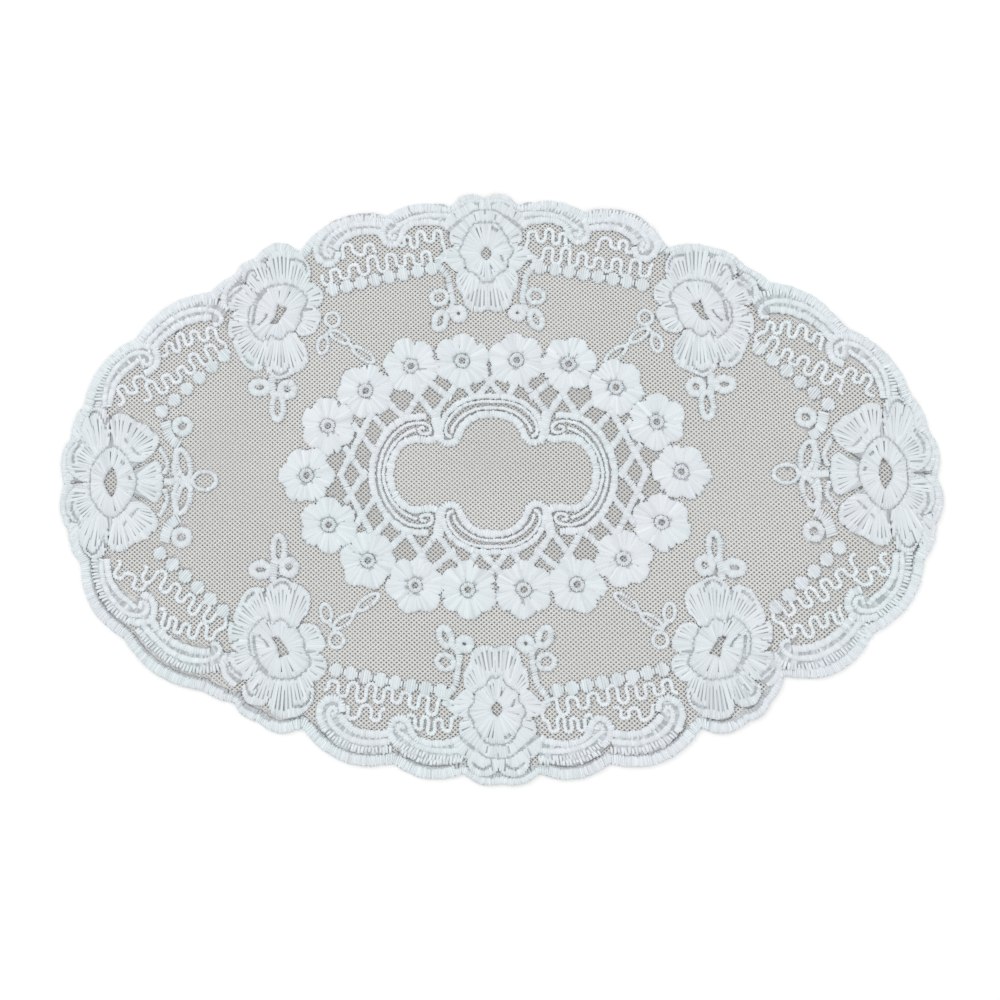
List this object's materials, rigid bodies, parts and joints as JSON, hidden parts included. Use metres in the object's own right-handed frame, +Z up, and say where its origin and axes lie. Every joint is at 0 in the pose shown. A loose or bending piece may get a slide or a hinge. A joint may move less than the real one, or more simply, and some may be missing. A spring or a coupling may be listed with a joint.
{
  "type": "oval lace doily",
  "caption": "Oval lace doily laid flat: embroidered net with a scalloped stitched rim, raised roses, a flower ring and scrolls.",
  "frame": {"origin": "middle of the doily's outline on its underside, on the surface it lies on", "axes": "+X along the doily's long axis, +Y along its short axis, +Z up out of the embroidered face"},
  "size_m": [0.2968, 0.2004, 0.0021],
  "materials": {
    "lace": "matt white embroidery thread on fine net"
  },
  "bodies": {
    "root": {"lace_doily": "lace"}
  },
  "joints": []
}
